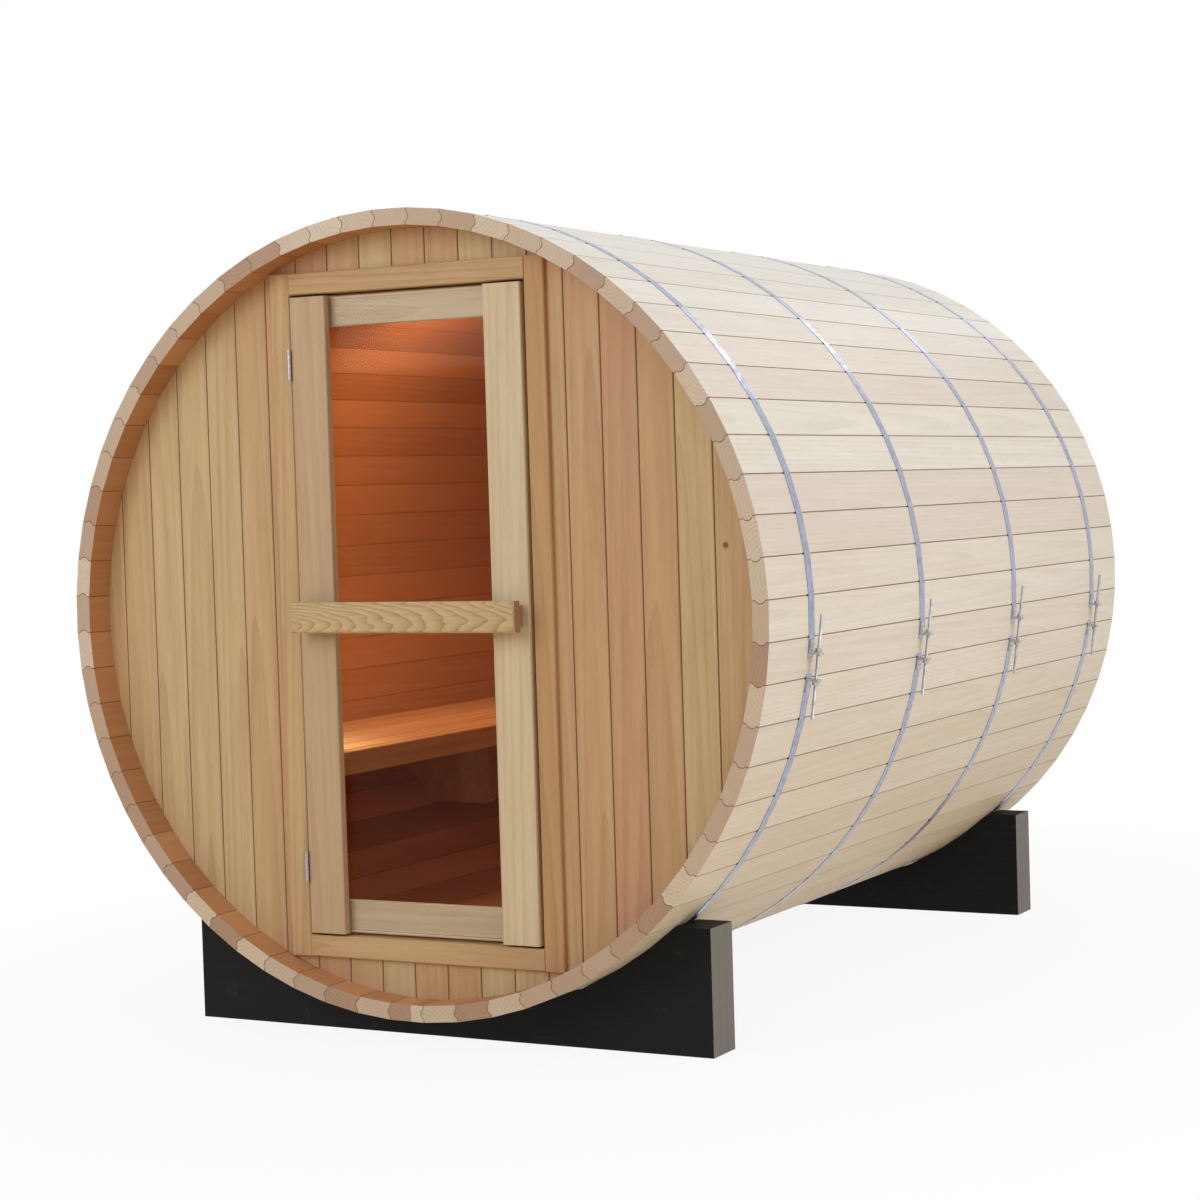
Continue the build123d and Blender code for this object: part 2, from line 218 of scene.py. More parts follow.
class SaunaSizes(bpy.types.PropertyGroup):
    """Sizes of the tensioners and the nails"""

    rod_diameter: length("Rod diameter", "Thread of the tensioner rods", 0.008)
    rod_length: length("Rod length", "Tensioner rod from end to end", 0.229)
    rod_pitch: length("Rod pitch", "From thread to thread, drawn coarse enough to show", 0.0025)
    thread_depth: length("Thread depth", "How deep the thread is cut", 0.0008)
    nut_width: length("Nut width", "Hexagon nut across its corners", 0.015)
    nut_height: length("Nut height", "Thickness of a hexagon nut", 0.0065)
    washer_width: length("Washer width", "Washer from edge to edge", 0.018)
    washer_thickness: length("Washer thickness", "Thickness of a washer", 0.0015)
    lug_spacing: length("Lug spacing", "Distance between the ears of a tensioner", 0.06)
    lug_thickness: length("Lug thickness", "Thickness of a lug's ear", 0.005)
    lug_width: length("Lug width", "Lug along the barrel", 0.024)
    foot_length: length("Foot length", "Lug along the band", 0.03)
    foot_thickness: length("Foot thickness", "Thickness of a lug's foot", 0.003)
    rivet_radius: length("Rivet radius", "Head of the rivets through a lug's foot", 0.003)
    nail_radius: length("Nail radius", "Head of the nails beside the bands", 0.0031)
    nail_height: length("Nail height", "How far a nail shows above the joint", 0.0022)


class SaunaStageSettings(bpy.types.PropertyGroup):
    """Where the camera stands and how bright the lamps are"""

    camera_place: bpy.props.FloatVectorProperty(
        name="Camera place",
        description="Where the camera stands",
        subtype="TRANSLATION",
        unit="LENGTH",
        default=(3.1987, -6.1914, 1.2541),
    )
    camera_yaw: bpy.props.FloatProperty(
        name="Yaw", description="Turn of the camera to the left", unit="ROTATION",
        default=math.radians(28.251),
    )
    camera_pitch: bpy.props.FloatProperty(
        name="Pitch", description="How far the camera looks down", unit="ROTATION",
        default=math.radians(2.434),
    )
    camera_roll: bpy.props.FloatProperty(
        name="Roll", description="Tilt of the camera's horizon", unit="ROTATION",
        default=math.radians(-1.75),
    )
    lens: bpy.props.FloatProperty(
        name="Lens", description="Focal length in mm", unit="CAMERA", default=79.07
    )
    sky_strength: bpy.props.FloatProperty(
        name="Sky", description="Soft light from all around", default=0.47
    )
    front_power: power("Front light", "Soft box before the door", 54.0)
    side_power: power("Side light", "Soft box over the barrel's side", 165.0)
    glint_power: power("Glint", "Far soft box that shines on a few staves", 12.0)
    cabin_power: power("Cabin lamp", "Warm light under the cabin's ceiling", 9.8)
    bench_power: power("Bench lamp", "Warm light over the near end of the left bench", 1.3)


# Materials


def add_node(tree, kind, inputs=None, **settings):
    """Add a node, and set or link its inputs; a node given as one stands for its first output."""
    made = tree.nodes.new(kind)
    for name, value in settings.items():
        setattr(made, name, value)
    for key, value in (inputs or {}).items():
        if isinstance(value, bpy.types.Node):
            value = value.outputs[0]
        if isinstance(value, bpy.types.NodeSocket):
            tree.links.new(value, made.inputs[key])
        else:
            made.inputs[key].default_value = value
    return made


def new_material(name):
    """A material with nothing but its shader."""
    material = bpy.data.materials.new(name)
    material.use_nodes = True
    return material, material.node_tree, material.node_tree.nodes["Principled BSDF"]


def dress(material, *names):
    """Give CAD nodes a material."""
    for name in names:
        for slot in NODES[name].material_slots:
            slot.material = material


def stave_place(tree, split):
    """Places round the barrel, where the bead of a stave reaches into the cove of the next."""
    up = add_node(
        tree, "ShaderNodeMath", {0: split.outputs[2], 1: AXIS_HEIGHT}, operation="SUBTRACT"
    )
    angle = add_node(tree, "ShaderNodeMath", {0: split.outputs[0], 1: up}, operation="ARCTAN2")
    turn = add_node(tree, "ShaderNodeMath", {0: angle, 1: STAVE_TURN}, operation="SUBTRACT")
    cell = add_node(
        tree, "ShaderNodeMath", {0: turn, 1: 1 / STAVE_PITCH, 2: 0.5}, operation="MULTIPLY_ADD"
    )
    flat = add_node(tree, "ShaderNodeCombineXYZ", {0: split.outputs[0], 1: up})
    radius = add_node(tree, "ShaderNodeVectorMath", {0: flat}, operation="LENGTH").outputs["Value"]
    depth = add_node(tree, "ShaderNodeMath", {0: STAVE_MIDDLE, 1: radius}, operation="SUBTRACT")
    squared = add_node(tree, "ShaderNodeMath", {0: depth, 1: depth}, operation="MULTIPLY")
    bead = add_node(tree, "ShaderNodeMath", {0: BEAD_RADIUS**2, 1: squared}, operation="SUBTRACT")
    bead = add_node(tree, "ShaderNodeMath", {0: bead}, operation="SQRT")
    bead = add_node(
        tree, "ShaderNodeMath", {0: bead, 1: BEAD_RADIUS - BEAD_HEIGHT}, operation="SUBTRACT"
    )
    bead = add_node(tree, "ShaderNodeMath", {0: bead, 1: 0.0}, operation="MAXIMUM")
    width = STAVE_PITCH * BARREL_RADIUS
    bead = add_node(tree, "ShaderNodeMath", {0: bead, 1: width}, operation="DIVIDE")
    joint = add_node(tree, "ShaderNodeMath", {0: cell, 1: bead}, operation="SUBTRACT")
    return cell, joint, width, depth, split.outputs[1]


def row_place(tree, split, layout):
    """Places across boards that lie side by side, with depths measured from their face."""
    axes = {"X": split.outputs[0], "Y": split.outputs[1], "Z": split.outputs[2]}
    across_axis, depth_axis, along_axis = layout["axes"]
    cell = add_node(
        tree, "ShaderNodeMath", {0: axes[across_axis], 1: layout["start"]}, operation="SUBTRACT"
    )
    cell = add_node(tree, "ShaderNodeMath", {0: cell, 1: layout["width"]}, operation="DIVIDE")
    depth = add_node(tree, "ShaderNodeMath", {0: axes[depth_axis]}, operation="ABSOLUTE")
    depth = add_node(tree, "ShaderNodeMath", {0: depth, 1: layout["face"]}, operation="SUBTRACT")
    along = add_node(
        tree, "ShaderNodeMath", {0: axes[along_axis], 1: layout["middle"]}, operation="SUBTRACT"
    )
    return cell, cell, layout["width"], depth, along


def board_place(tree, layout, seed):
    """Across, depth and along a board, its random numbers, and how far its nearest joint is."""
    point = add_node(tree, "ShaderNodeTexCoord").outputs["Object"]
    split = add_node(tree, "ShaderNodeSeparateXYZ", {0: point})
    if layout["kind"] == "round":
        cell, joint, width, depth, along = stave_place(tree, split)
    else:
        cell, joint, width, depth, along = row_place(tree, split, layout)
    number = add_node(tree, "ShaderNodeMath", {0: joint}, operation="FLOOR")
    across = add_node(tree, "ShaderNodeMath", {0: cell, 1: number}, operation="SUBTRACT")
    across = add_node(
        tree, "ShaderNodeMath", {0: across, 1: width, 2: -width / 2}, operation="MULTIPLY_ADD"
    )
    share = add_node(tree, "ShaderNodeMath", {0: joint}, operation="FRACT")
    off = add_node(tree, "ShaderNodeMath", {0: share, 1: 0.5}, operation="SUBTRACT")
    off = add_node(tree, "ShaderNodeMath", {0: off}, operation="ABSOLUTE")
    gap = add_node(
        tree, "ShaderNodeMath", {0: off, 1: -width, 2: width / 2}, operation="MULTIPLY_ADD"
    )
    key = add_node(tree, "ShaderNodeMath", {0: number, 1: seed + SEED_OFFSET}, operation="ADD")
    dice = add_node(tree, "ShaderNodeTexWhiteNoise", {"W": key}, noise_dimensions="1D")
    chance = add_node(tree, "ShaderNodeSeparateColor", {0: dice.outputs["Color"]}).outputs
    return {
        "point": point, "across": across, "depth": depth, "along": along,
        "gap": gap, "key": key, "chance": chance,
    }


def growth_rings(tree, place, ring_mm, figure, sweep, lean):
    """Late wood of rings round a pith behind the board, in another place for each board."""
    chance = place["chance"]
    aside = add_node(
        tree,
        "ShaderNodeMath",
        {0: chance[0], 1: PITH_SPREAD, 2: -PITH_SPREAD / 2},
        operation="MULTIPLY_ADD",
    )
    behind = add_node(
        tree,
        "ShaderNodeMath",
        {0: chance[1], 1: PITH_RANGE, 2: PITH_NEAREST},
        operation="MULTIPLY_ADD",
    )
    behind = add_node(
        tree, "ShaderNodeMath", {0: place["along"], 1: lean, 2: behind}, operation="MULTIPLY_ADD"
    )
    ring_x = add_node(tree, "ShaderNodeMath", {0: place["across"], 1: aside}, operation="ADD")
    ring_y = add_node(tree, "ShaderNodeMath", {0: place["depth"], 1: behind}, operation="ADD")
    drift = add_node(tree, "ShaderNodeMath", {0: place["along"], 1: sweep}, operation="MULTIPLY")
    drift = add_node(
        tree, "ShaderNodeMath", {0: place["key"], 1: BOARD_STEP, 2: drift}, operation="MULTIPLY_ADD"
    )
    ring_place = add_node(tree, "ShaderNodeCombineXYZ", {0: ring_x, 1: ring_y, 2: drift})
    rings = add_node(
        tree,
        "ShaderNodeTexWave",
        {
            "Vector": ring_place,
            "Scale": WAVE_SPACING / (ring_mm / 1000),
            "Distortion": RING_WANDER * figure,
            "Detail": 2.0,
            "Detail Scale": 0.35,
            "Detail Roughness": 0.55,
        },
        wave_type="RINGS",
        rings_direction="Z",
        wave_profile="SAW",
    )
    return add_node(
        tree, "ShaderNodeMath", {0: rings.outputs["Fac"], 1: RING_SHARPNESS}, operation="POWER"
    )


def board_noise(tree, place, size_mm, detail):
    """Noise that is size_mm wide across a board and twenty times as long along it."""
    drift = add_node(
        tree, "ShaderNodeMath", {0: place["along"], 1: GRAIN_STRETCH}, operation="MULTIPLY"
    )
    drift = add_node(
        tree, "ShaderNodeMath", {0: place["key"], 1: BOARD_STEP, 2: drift}, operation="MULTIPLY_ADD"
    )
    spot = add_node(tree, "ShaderNodeCombineXYZ", {0: place["across"], 1: place["depth"], 2: drift})
    spot = add_node(tree, "ShaderNodeVectorMath", {0: spot, 3: 1000 / size_mm}, operation="SCALE")
    return add_node(
        tree,
        "ShaderNodeTexNoise",
        {"Vector": spot, "Scale": 1.0, "Detail": detail, "Roughness": 0.6},
    ).outputs[0]


def board_tone(tree, place, tones, lining, ends, cut):
    """The plain colour of a board, with others for the inside of the barrel and for cut ends."""
    tone = add_node(tree, "ShaderNodeValToRGB", {0: place["chance"][2]})
    ramp = tone.color_ramp
    while len(ramp.elements) < len(tones):
        ramp.elements.new(0.5)
    for index, element in enumerate(ramp.elements):
        element.position = index / (len(tones) - 1)
        element.color = tones[index]
    face = tone.outputs["Color"]
    if lining:
        inner = add_node(
            tree,
            "ShaderNodeMix",
            {0: place["chance"][0], "A": lining[0], "B": lining[1]},
            data_type="RGBA",
        )
        inside = add_node(
            tree, "ShaderNodeMath", {0: place["depth"], 1: LINING_DEPTH}, operation="GREATER_THAN"
        )
        face = add_node(
            tree,
            "ShaderNodeMix",
            {0: inside, "A": face, "B": inner.outputs["Result"]},
            data_type="RGBA",
        ).outputs["Result"]
    if ends:
        end = add_node(
            tree,
            "ShaderNodeMix",
            {0: place["chance"][1], "A": ends[0], "B": ends[1]},
            data_type="RGBA",
        )
        face = add_node(
            tree, "ShaderNodeMix", {0: cut, "A": face, "B": end.outputs["Result"]}, data_type="RGBA"
        ).outputs["Result"]
    return face


def cut_ends(tree, axis):
    """One where a surface is cut across the grain."""
    normal = add_node(tree, "ShaderNodeTexCoord").outputs["Normal"]
    facing = add_node(tree, "ShaderNodeSeparateXYZ", {0: normal})
    slope = add_node(
        tree, "ShaderNodeMath", {0: facing.outputs["XYZ".index(axis)]}, operation="ABSOLUTE"
    )
    return add_node(tree, "ShaderNodeMath", {0: slope, 1: CUT_SLOPE}, operation="GREATER_THAN")


def wood(
    name, layout, tones, grain, ring_mm=8.0, ring_contrast=0.2, figure=0.4, sweep=0.05,
    lean=0.012, seed=0.0, roughness=0.55, streak=0.28, seam=None, seam_mm=0.0,
    lining=None, ends=None, knot=None,
):
    """Planed softwood: rings, fibres, streaks, a tone for each board and a shadow in each joint."""
    material, tree, shader = new_material(name)
    place = board_place(tree, layout, seed)
    late = growth_rings(tree, place, ring_mm, figure, sweep, lean)
    # Fibres are drawn coarser than real ones, so that they show
    fibres = board_noise(tree, place, FIBRE_MM, 3.0)
    streaks = board_noise(tree, place, STREAK_MM, 2.0)
    cut = cut_ends(tree, layout["axes"][2])
    face = board_tone(tree, place, tones, lining, ends, cut)

    end_contrast = ring_contrast + (END_CONTRAST if ends else 0.0)
    contrast = add_node(tree, "ShaderNodeMapRange", {0: cut, 3: ring_contrast, 4: end_contrast})
    mark = add_node(tree, "ShaderNodeMath", {0: late, 1: contrast}, operation="MULTIPLY")
    fibre_amount = add_node(
        tree,
        "ShaderNodeMapRange",
        {0: fibres, 1: 0.45, 2: 0.8, 3: 0.0, 4: 0.55 * ring_contrast + 0.06},
    )
    mark = add_node(tree, "ShaderNodeMath", {0: mark, 1: fibre_amount}, operation="ADD")
    streak_amount = add_node(
        tree, "ShaderNodeMapRange", {0: streaks, 1: 0.35, 2: 0.75, 3: 0.0, 4: streak}
    )
    mark = add_node(
        tree, "ShaderNodeMath", {0: mark, 1: streak_amount}, operation="ADD", use_clamp=True
    )
    face = add_node(
        tree, "ShaderNodeMix", {0: mark, "A": face, "B": grain}, data_type="RGBA"
    ).outputs["Result"]
    if knot:
        centre, radius, heart = knot
        gap = add_node(
            tree, "ShaderNodeVectorMath", {0: place["point"], 1: centre}, operation="DISTANCE"
        )
        amount = add_node(
            tree,
            "ShaderNodeMapRange",
            {0: gap.outputs["Value"], 1: 0.5 * radius, 2: radius, 3: KNOT_SHADE, 4: 0.0},
        )
        face = add_node(
            tree, "ShaderNodeMix", {0: amount, "A": face, "B": heart}, data_type="RGBA"
        ).outputs["Result"]
    if seam_mm:
        line = add_node(
            tree,
            "ShaderNodeMapRange",
            {0: place["gap"], 1: 0.6 * seam_mm / 1000, 2: seam_mm / 1000, 3: JOINT_SHADE, 4: 0.0},
        )
        face = add_node(
            tree, "ShaderNodeMix", {0: line, "A": face, "B": seam}, data_type="RGBA"
        ).outputs["Result"]
    tree.links.new(face, shader.inputs["Base Color"])

    sheen = add_node(
        tree,
        "ShaderNodeMapRange",
        {0: fibres, 1: 0.3, 2: 0.8, 3: roughness - 0.06, 4: roughness + 0.1},
    )
    tree.links.new(sheen.outputs[0], shader.inputs["Roughness"])
    relief = add_node(tree, "ShaderNodeMath", {0: fibres, 1: late}, operation="ADD")
    bump = add_node(tree, "ShaderNodeBump", {"Strength": 0.2, "Distance": 0.0006, "Height": relief})
    tree.links.new(bump.outputs[0], shader.inputs["Normal"])
    shader.inputs["IOR"].default_value = 1.45
    return material


def rows(axes, start, width, face, middle=0.0):
    """Boards side by side: their axes across, inward and along, and where these begin."""
    return {
        "kind": "rows", "axes": axes, "start": start, "width": width, "face": face,
        "middle": middle,
    }


def single(name, axes):
    """A node that is one board, measured from its middle."""
    low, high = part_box(name)
    across, depth, along = [(low["XYZ".index(axis)] + high["XYZ".index(axis)]) / 2 for axis in axes]
    return rows(axes, across - ONE_BOARD / 2, ONE_BOARD, abs(depth), along)


class SaunaOperator:
    """What every operator of this file shares."""

    bl_options = {"REGISTER"}


class SAUNA_OT_barrel_wood(SaunaOperator, bpy.types.Operator):
    """Dress the staves, the end walls and the benches in their woods"""

    bl_idname = "sauna.barrel_wood"
    bl_label = "Barrel, walls and benches"

    def execute(self, context):
        shade = context.scene.sauna_woods
        # Planed hemlock staves: pale, with faint grain, thin brown joints and rings on the ends
        staves = wood(
            "planed_hemlock_staves", {"kind": "round", "axes": "XZY"},
            [shade.stave_pale, shade.stave_warm, shade.stave_pale, shade.stave_pink],
            shade.stave_grain,
            ring_mm=9.0, ring_contrast=0.13, figure=0.6, seed=11.0, roughness=0.5, streak=0.16,
            lining=(shade.lining_pale, shade.lining_dark), ends=(shade.end_pale, shade.end_dark),
            seam=shade.seam, seam_mm=1.6,
        )
        dress(staves, *[f"staves_{name}" for name in SECTORS])
        face = abs(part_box("front_wall_right")[0].y)
        # Planed red cedar wall boards: warm tan with straight streaks, and one small knot
        wall = wood(
            "planed_cedar_boards", rows("XYZ", WALL_SEAM, WALL_BOARD, face),
            [shade.wall_warm, shade.wall_pale, shade.wall_warm, shade.wall_pink],
            shade.wall_grain,
            ring_mm=11.0, figure=0.35, seed=5.0, seam=shade.seam, seam_mm=1.8,
            knot=((KNOT_ASIDE, -face, AXIS_HEIGHT + KNOT_ABOVE_AXIS), KNOT_RADIUS, shade.knot),
        )
        sides = ("left", "right", "top", "bottom")
        dress(wall, *[f"front_wall_{side}" for side in sides], "back_wall")
        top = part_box("bench_left")[1].z
        # Sanded aspen bench slats: pale and nearly plain
        bench = wood(
            "sanded_aspen_slats", rows("XZY", SLAT_START, SLAT_PITCH, top),
            [shade.bench_pale, shade.bench_warm], shade.wall_grain,
            ring_contrast=0.16, figure=0.5, seed=61.0,
        )
        dress(bench, "bench_left", "bench_right", "bench_left_supports", "bench_right_supports")
        return {"FINISHED"}


class SAUNA_OT_door_wood(SaunaOperator, bpy.types.Operator):
    """Dress the door frame, the door and its handle in their woods"""

    bl_idname = "sauna.door_wood"
    bl_label = "Door and frame"

    def execute(self, context):
        shade = context.scene.sauna_woods
        frame_tones = [shade.frame_pale, shade.frame_warm]
        # Planed frame timber: yellowish, with streaks that run along each piece
        for name, axes, seed in (
            ("door_jamb_left", "XYZ", 21.0),
            ("door_jamb_right", "XYZ", 22.0),
            ("door_head", "ZYX", 23.0),
            ("door_sill", "ZYX", 24.0),
            ("door_stops", "XYZ", 25.0),
        ):
            made = wood(
                f"planed_{name}", single(name, axes), frame_tones, shade.wall_grain,
                ring_contrast=0.25, figure=0.3, seed=seed,
            )
            dress(made, name)
        # Sanded door timber: greyer and plainer than the frame. The rails and some inner stiles
        # behind the glass get a paler tone, painted light that makes up for the light the pane
        # keeps off them
        for name, axes, tones, seed in (
            ("door_stile_left", "XYZ", [shade.stile_warm, shade.stile_warm], 31.0),
            ("door_stile_right", "XYZ", [shade.stile_pale, shade.stile_pale], 32.0),
            ("door_inner_stiles", "XYZ", [shade.stile_warm, shade.rail_painted_light], 33.0),
            ("door_rail_top", "ZYX", [shade.rail_painted_light, shade.rail_painted_light], 41.0),
            ("door_rail_bottom", "ZYX", [shade.rail_painted_light, shade.rail_painted_light], 42.0),
        ):
            made = wood(
                f"sanded_{name}", single(name, axes), tones, shade.wall_grain,
                ring_mm=12.0, ring_contrast=0.14, seed=seed, streak=0.22,
            )
            dress(made, name)
        # Flat-sawn pine handle: strong wavy rings that run out along it, and darker cut ends
        handle = wood(
            "flat_sawn_pine_handle", single("door_handle", "ZYX"),
            [shade.handle_pale, shade.handle_pale], shade.handle_grain,
            ring_mm=5.6, ring_contrast=0.55, figure=1.1, sweep=0.25, lean=0.12,
            seed=52.0, streak=0.1, ends=(shade.end_dark, shade.end_dark),
        )
        dress(handle, "door_handle", "door_handle_blocks")
        return {"FINISHED"}


class SAUNA_OT_finish(SaunaOperator, bpy.types.Operator):
    """Dress the bands, hinges, glass and cradles"""

    bl_idname = "sauna.finish"
    bl_label = "Steel, glass and stain"

    def execute(self, context):
        shade = context.scene.sauna_finishes
        # The bands' bluish tint is a painted reflection of the sky on grey zinc
        dress(steel("zinc_band_steel_painted_sky", shade.band, 0.3, 0.004), *[f"band_{i}" for i in BANDS])
        dress(
            steel("satin_hinge_steel", shade.hinge, 0.32, 0.002),
            "hinge_upper_frame_leaf", "hinge_upper_door_leaf",
            "hinge_lower_frame_leaf", "hinge_lower_door_leaf",
        )
        dress(clear_glass(shade.glass), "door_glass")
        dress(black_stain(shade.stain, shade.stain_worn_and_lit), "cradle_front", "cradle_rear")
        return {"FINISHED"}


def steel(name, tint, roughness, grain_size):
    """Rolled steel with a thin zinc coat: soft bright metal with faint clouds in its gloss."""
    material, tree, shader = new_material(name)
    place = add_node(tree, "ShaderNodeTexCoord").outputs["Object"]
    clouds = add_node(
        tree, "ShaderNodeTexNoise", {"Vector": place, "Scale": 0.3 / grain_size, "Detail": 4.0}
    )
    darker = tuple(0.72 * c for c in tint[:3]) + (1.0,)
    amount = add_node(tree, "ShaderNodeMapRange", {0: clouds.outputs[0], 1: 0.35, 2: 0.7})
    mixed = add_node(tree, "ShaderNodeMix", {0: amount, "A": tint, "B": darker}, data_type="RGBA")
    tree.links.new(mixed.outputs["Result"], shader.inputs["Base Color"])
    gloss = add_node(
        tree,
        "ShaderNodeMapRange",
        {0: clouds.outputs[0], 1: 0.3, 2: 0.7, 3: roughness - 0.06, 4: roughness + 0.1},
    )
    tree.links.new(gloss.outputs[0], shader.inputs["Roughness"])
    shader.inputs["Metallic"].default_value = 0.9
    return material


def black_iron(tint):
    """Nail heads of black iron: dark, dull and a little uneven."""
    material, tree, shader = new_material("black_iron_nails")
    place = add_node(tree, "ShaderNodeTexCoord").outputs["Object"]
    spots = add_node(tree, "ShaderNodeTexNoise", {"Vector": place, "Scale": 400.0, "Detail": 2.0})
    lighter = tuple(min(1.0, 2.2 * c) for c in tint[:3]) + (1.0,)
    mixed = add_node(
        tree, "ShaderNodeMix", {0: spots.outputs[0], "A": tint, "B": lighter}, data_type="RGBA"
    )
    tree.links.new(mixed.outputs["Result"], shader.inputs["Base Color"])
    shader.inputs["Metallic"].default_value = 0.5
    shader.inputs["Roughness"].default_value = 0.6
    return material


def clear_glass(tint):
    """Tempered glass: clear and smooth, with little reflection and a faint haze."""
    material, tree, shader = new_material("tempered_clear_glass")
    place = add_node(tree, "ShaderNodeTexCoord").outputs["Object"]
    haze = add_node(tree, "ShaderNodeTexNoise", {"Vector": place, "Scale": 3.0, "Detail": 3.0})
    film = add_node(
        tree, "ShaderNodeMapRange", {0: haze.outputs[0], 1: 0.4, 2: 0.8, 3: 0.0, 4: 0.03}
    )
    tree.links.new(film.outputs[0], shader.inputs["Roughness"])
    shader.inputs["Base Color"].default_value = tint
    shader.inputs["Transmission Weight"].default_value = 1.0
    # A low index keeps the reflection weak, so that the lit cabin shows through the pane
    shader.inputs["IOR"].default_value = 1.12
    return material


def black_stain(stain, worn_and_lit):
    """Softwood boards stained black: dull, with faint grain and scuffs of wear, and sawn ends
    painted greyer as painted light.
    """
    material, tree, shader = new_material("black_stained_boards")
    place = add_node(tree, "ShaderNodeTexCoord").outputs["Object"]
    lines = add_node(tree, "ShaderNodeMapping", {0: place, 3: (6.0, 60.0, 160.0)})
    grain = add_node(tree, "ShaderNodeTexNoise", {"Vector": lines, "Scale": 1.0, "Detail": 4.0})
    scuffs = add_node(
        tree,
        "ShaderNodeTexNoise",
        {"Vector": place, "Scale": 14.0, "Detail": 6.0, "Roughness": 0.7},
    )
    bare = add_node(
        tree, "ShaderNodeMapRange", {0: scuffs.outputs[0], 1: 0.62, 2: 0.8, 3: 0.0, 4: 0.12}
    )
    line = add_node(
        tree, "ShaderNodeMapRange", {0: grain.outputs[0], 1: 0.45, 2: 0.75, 3: 0.0, 4: 0.03}
    )
    mark = add_node(tree, "ShaderNodeMath", {0: bare, 1: line}, operation="ADD")
    # Painted light: the sawn ends take most of the paler colour, standing in for the light that
    # falls on them
    sawn = cut_ends(tree, "X")
    mark = add_node(
        tree,
        "ShaderNodeMath",
        {0: sawn, 1: LIT_END_SHARE, 2: mark},
        operation="MULTIPLY_ADD",
        use_clamp=True,
    )
    mixed = add_node(tree, "ShaderNodeMix", {0: mark, "A": stain, "B": worn_and_lit}, data_type="RGBA")
    tree.links.new(mixed.outputs["Result"], shader.inputs["Base Color"])
    gloss = add_node(
        tree, "ShaderNodeMapRange", {0: grain.outputs[0], 1: 0.3, 2: 0.7, 3: 0.5, 4: 0.72}
    )
    tree.links.new(gloss.outputs[0], shader.inputs["Roughness"])
    bump = add_node(
        tree, "ShaderNodeBump", {"Strength": 0.3, "Distance": 0.0008, "Height": grain.outputs[0]}
    )
    tree.links.new(bump.outputs[0], shader.inputs["Normal"])
    shader.inputs["Specular IOR Level"].default_value = 0.18
    return material


# Small steel pieces


def only(*pieces):
    """Select these pieces alone, and make the first of them active."""
    bpy.ops.object.select_all(action="DESELECT")
    for piece in pieces:
        piece.select_set(True)
    bpy.context.view_layer.objects.active = pieces[0]


def add_shape(primitive, name, **settings):
    """Add a primitive at its size and place, with nothing else selected."""
    bpy.ops.object.select_all(action="DESELECT")
    primitive(**settings)
    made = bpy.context.active_object
    made.name = made.data.name = name
    return made


def choose(piece, test):
    """Go into edit mode with only the points that pass a test selected."""
    only(piece)
    bpy.ops.object.mode_set(mode="EDIT")
    bpy.ops.mesh.select_mode(type="VERT")
    bpy.ops.mesh.select_all(action="DESELECT")
    bpy.ops.object.mode_set(mode="OBJECT")
    for point in piece.data.vertices:
        point.select = test(point.co)
    bpy.ops.object.mode_set(mode="EDIT")


def soften(piece, width):
    """Take the sharp edge off a whole shape."""
    choose(piece, lambda point: True)
    bpy.ops.mesh.bevel(offset=width, segments=1, affect="EDGES")
    bpy.ops.mesh.normals_make_consistent(inside=False)
    bpy.ops.object.mode_set(mode="OBJECT")


def move_to(piece, place, turn=(0.0, 0.0, 0.0)):
    """Turn and move a piece, and keep its place in its mesh."""
    piece.rotation_euler = turn
    piece.location = place
    only(piece)
    bpy.ops.object.transform_apply(location=True, rotation=True, scale=True)


def copy_of(piece, name):
    """A copy with its own mesh."""
    made = piece.copy()
    made.data = piece.data.copy()
    made.name = made.data.name = name
    bpy.context.scene.collection.objects.link(made)
    return made


def join(name, pieces):
    """Make one piece of several."""
    only(*pieces)
    bpy.ops.object.join()
    made = bpy.context.active_object
    made.name = made.data.name = name
    return made


def hand_in(piece, material):
    """Give a finished piece its material and its body."""
    piece.data.materials.clear()
    piece.data.materials.append(material)
    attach(piece, "cabin")


def threaded_rod(sizes):
    """A rod along X: one ridge of its thread is shaped, then repeated from end to end."""
    outer = sizes.rod_diameter / 2
    core = outer - sizes.thread_depth
    rod = add_shape(
        bpy.ops.mesh.primitive_cone_add, "rod", vertices=ROD_SIDES, radius1=core, radius2=outer,
        depth=sizes.rod_pitch / 2, end_fill_type="NOTHING",
    )
    choose(rod, lambda point: point.z > 0)
    bpy.ops.mesh.extrude_region_move(
        TRANSFORM_OT_translate={"value": (0.0, 0.0, sizes.rod_pitch / 2)}
    )
    bpy.ops.transform.resize(value=(core / outer, core / outer, 1.0))
    bpy.ops.object.mode_set(mode="OBJECT")
    ridges = rod.modifiers.new("ridges", "ARRAY")
    ridges.count = round(sizes.rod_length / sizes.rod_pitch)
    ridges.relative_offset_displace = (0.0, 0.0, 1.0)
    ridges.use_merge_vertices = True
    ridges.merge_threshold = 0.0001
    bpy.ops.object.modifier_apply(modifier="ridges")
    choose(rod, lambda point: True)
    bpy.ops.mesh.fill_holes(sides=0)
    bpy.ops.mesh.normals_make_consistent(inside=False)
    bpy.ops.object.mode_set(mode="OBJECT")
    far_end = max(point.co.z for point in rod.data.vertices)
    middle = (far_end - sizes.rod_pitch / 4) / 2
    move_to(rod, (-middle, 0.0, 0.0), (0.0, math.pi / 2, 0.0))
    return rod


def collar(name, sides, width, height, place, edge):
    """A nut or a washer round the rod, with its edges broken."""
    made = add_shape(
        bpy.ops.mesh.primitive_cylinder_add, name, vertices=sides, radius=width / 2, depth=height
    )
    soften(made, edge)
    move_to(made, place, (0.0, math.pi / 2, 0.0))
    return made


